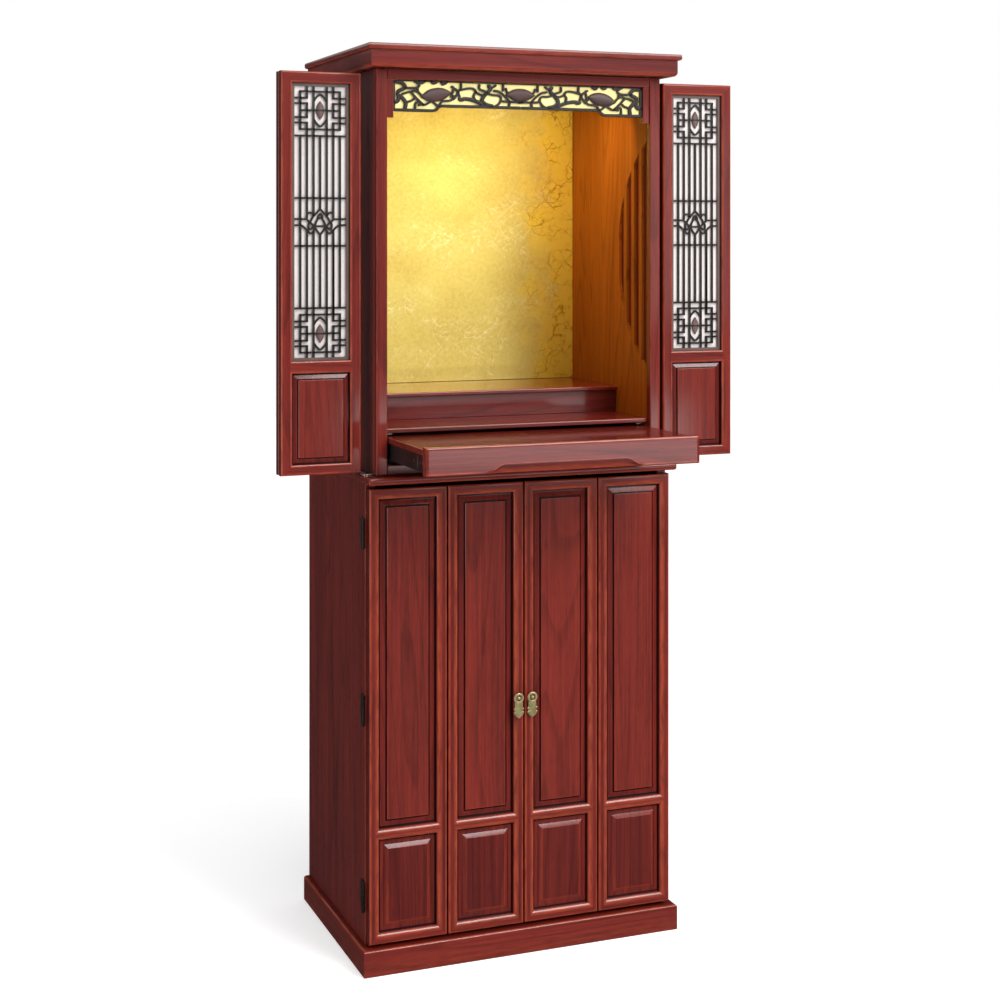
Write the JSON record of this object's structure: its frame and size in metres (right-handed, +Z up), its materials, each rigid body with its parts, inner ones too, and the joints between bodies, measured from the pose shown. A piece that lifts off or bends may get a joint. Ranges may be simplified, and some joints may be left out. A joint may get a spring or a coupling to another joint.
{
  "type": "household altar cabinet",
  "caption": "Tall household altar cabinet: open shrine with stepped shelves and a pull-out tray over a closed cupboard, with folding panelled and lattice doors.",
  "frame": {"origin": "centre of the plinth's underside", "axes": "+Z up, front towards -Y, +X to the right of someone who faces the front"},
  "size_m": [0.868, 0.573, 1.6],
  "materials": {
    "cherry_lacquer": "glossy dark reddish cherry stain",
    "amber_wood": "clear satin lacquer on amber wood",
    "gold_foil": "board covered with crinkled gold foil",
    "dark_lattice": "near-black brown stain",
    "frosted_pane": "frosted translucent sheet",
    "antique_brass": "aged, dark in its hollows",
    "black_steel": "black",
    "bright_steel": "plain"
  },
  "bodies": {
    "cabinet": {"inner_wall_left": "amber_wood", "lower_side_left": "cherry_lacquer", "post_left": "cherry_lacquer", "upper_side_left": "cherry_lacquer", "shelf_peg_left": "bright_steel", "slide_outer_left": "black_steel", "transom_strip_left": "cherry_lacquer", "upper_pivot_plate_left": "bright_steel", "lower_hinge_left_1": "black_steel", "lower_hinge_left_2": "black_steel", "lower_hinge_left_3": "black_steel", "inner_wall_right": "amber_wood", "lower_side_right": "cherry_lacquer", "post_right": "cherry_lacquer", "upper_side_right": "cherry_lacquer", "shelf_peg_right": "bright_steel", "slide_outer_right": "black_steel", "transom_strip_right": "cherry_lacquer", "upper_pivot_plate_right": "bright_steel", "lower_hinge_right_1": "black_steel", "lower_hinge_right_2": "black_steel", "lower_hinge_right_3": "black_steel", "cornice": "cherry_lacquer", "gold_panel": "gold_foil", "lintel": "cherry_lacquer", "lower_back": "cherry_lacquer", "lower_floor": "cherry_lacquer", "plinth": "cherry_lacquer", "shrine_shelf": "cherry_lacquer", "transom": "dark_lattice", "upper_back": "cherry_lacquer", "upper_floor": "cherry_lacquer", "upper_step": "cherry_lacquer", "waist_ledge": "cherry_lacquer"},
    "lower_outer_left": {"lower_outer_leaf_left": "cherry_lacquer"},
    "lower_inner_left": {"lower_inner_leaf_left": "cherry_lacquer", "pull_stud_left": "antique_brass"},
    "pull_left": {"pull_drop_left": "antique_brass"},
    "upper_outer_left": {"upper_outer_leaf_left": "cherry_lacquer", "upper_outer_leaf_left_lattice": "dark_lattice", "upper_outer_leaf_left_pane": "frosted_pane", "upper_pivot_arm_left": "bright_steel"},
    "upper_inner_left": {"upper_inner_leaf_left": "cherry_lacquer", "upper_inner_leaf_left_lattice": "dark_lattice", "upper_inner_leaf_left_pane": "frosted_pane"},
    "lower_outer_right": {"lower_outer_leaf_right": "cherry_lacquer"},
    "lower_inner_right": {"lower_inner_leaf_right": "cherry_lacquer", "pull_stud_right": "antique_brass"},
    "pull_right": {"pull_drop_right": "antique_brass"},
    "upper_outer_right": {"upper_outer_leaf_right": "cherry_lacquer", "upper_outer_leaf_right_lattice": "dark_lattice", "upper_outer_leaf_right_pane": "frosted_pane", "upper_pivot_arm_right": "bright_steel"},
    "upper_inner_right": {"upper_inner_leaf_right": "cherry_lacquer", "upper_inner_leaf_right_lattice": "dark_lattice", "upper_inner_leaf_right_pane": "frosted_pane"},
    "tray": {"tray_apron": "cherry_lacquer", "tray_board": "cherry_lacquer", "slide_inner_left": "black_steel", "slide_inner_right": "black_steel"}
  },
  "joints": [
    {"name": "lower_door_left", "type": "hinge", "parent": "cabinet", "child": "lower_outer_left", "pos_m": [-0.2923, -0.1675, 0.4505], "axis": [0, 0, -1], "range_deg": [0, 180]},
    {"name": "lower_fold_left", "type": "hinge", "parent": "lower_outer_left", "child": "lower_inner_left", "pos_m": [-0.144, -0.1679, 0.4505], "axis": [0, 0, -1], "range_deg": [-180, 0]},
    {"name": "pull_swing_left", "type": "hinge", "parent": "lower_inner_left", "child": "pull_left", "pos_m": [-0.013, -0.1941, 0.4522], "axis": [-1, 0, 0], "range_deg": [0, 25]},
    {"name": "upper_door_left", "type": "hinge", "parent": "cabinet", "child": "upper_outer_left", "pos_m": [-0.29, -0.158, 1.2], "axis": [0, 0, 1], "range_deg": [0, 100]},
    {"name": "upper_fold_left", "type": "hinge", "parent": "upper_outer_left", "child": "upper_inner_left", "pos_m": [-0.435, -0.1356, 1.2], "axis": [0, 0, -1], "range_deg": [0, 180]},
    {"name": "lower_door_right", "type": "hinge", "parent": "cabinet", "child": "lower_outer_right", "pos_m": [0.2923, -0.1675, 0.4505], "axis": [0, 0, 1], "range_deg": [0, 180]},
    {"name": "lower_fold_right", "type": "hinge", "parent": "lower_outer_right", "child": "lower_inner_right", "pos_m": [0.144, -0.1679, 0.4505], "axis": [0, 0, 1], "range_deg": [-180, 0]},
    {"name": "pull_swing_right", "type": "hinge", "parent": "lower_inner_right", "child": "pull_right", "pos_m": [0.013, -0.1941, 0.4522], "axis": [-1, 0, 0], "range_deg": [0, 25]},
    {"name": "upper_door_right", "type": "hinge", "parent": "cabinet", "child": "upper_outer_right", "pos_m": [0.29, -0.158, 1.2], "axis": [0, 0, -1], "range_deg": [0, 100]},
    {"name": "upper_fold_right", "type": "hinge", "parent": "upper_outer_right", "child": "upper_inner_right", "pos_m": [0.435, -0.1356, 1.2], "axis": [0, 0, 1], "range_deg": [0, 180]},
    {"name": "tray_slide", "type": "slide", "parent": "cabinet", "child": "tray", "axis": [0, 1, 0], "range_m": [0, 0.197]}
  ],
  "couplings": [
    {"joint": "lower_fold_left", "follows": "lower_door_left", "ratio": -1},
    {"joint": "lower_fold_right", "follows": "lower_door_right", "ratio": -1}
  ]
}
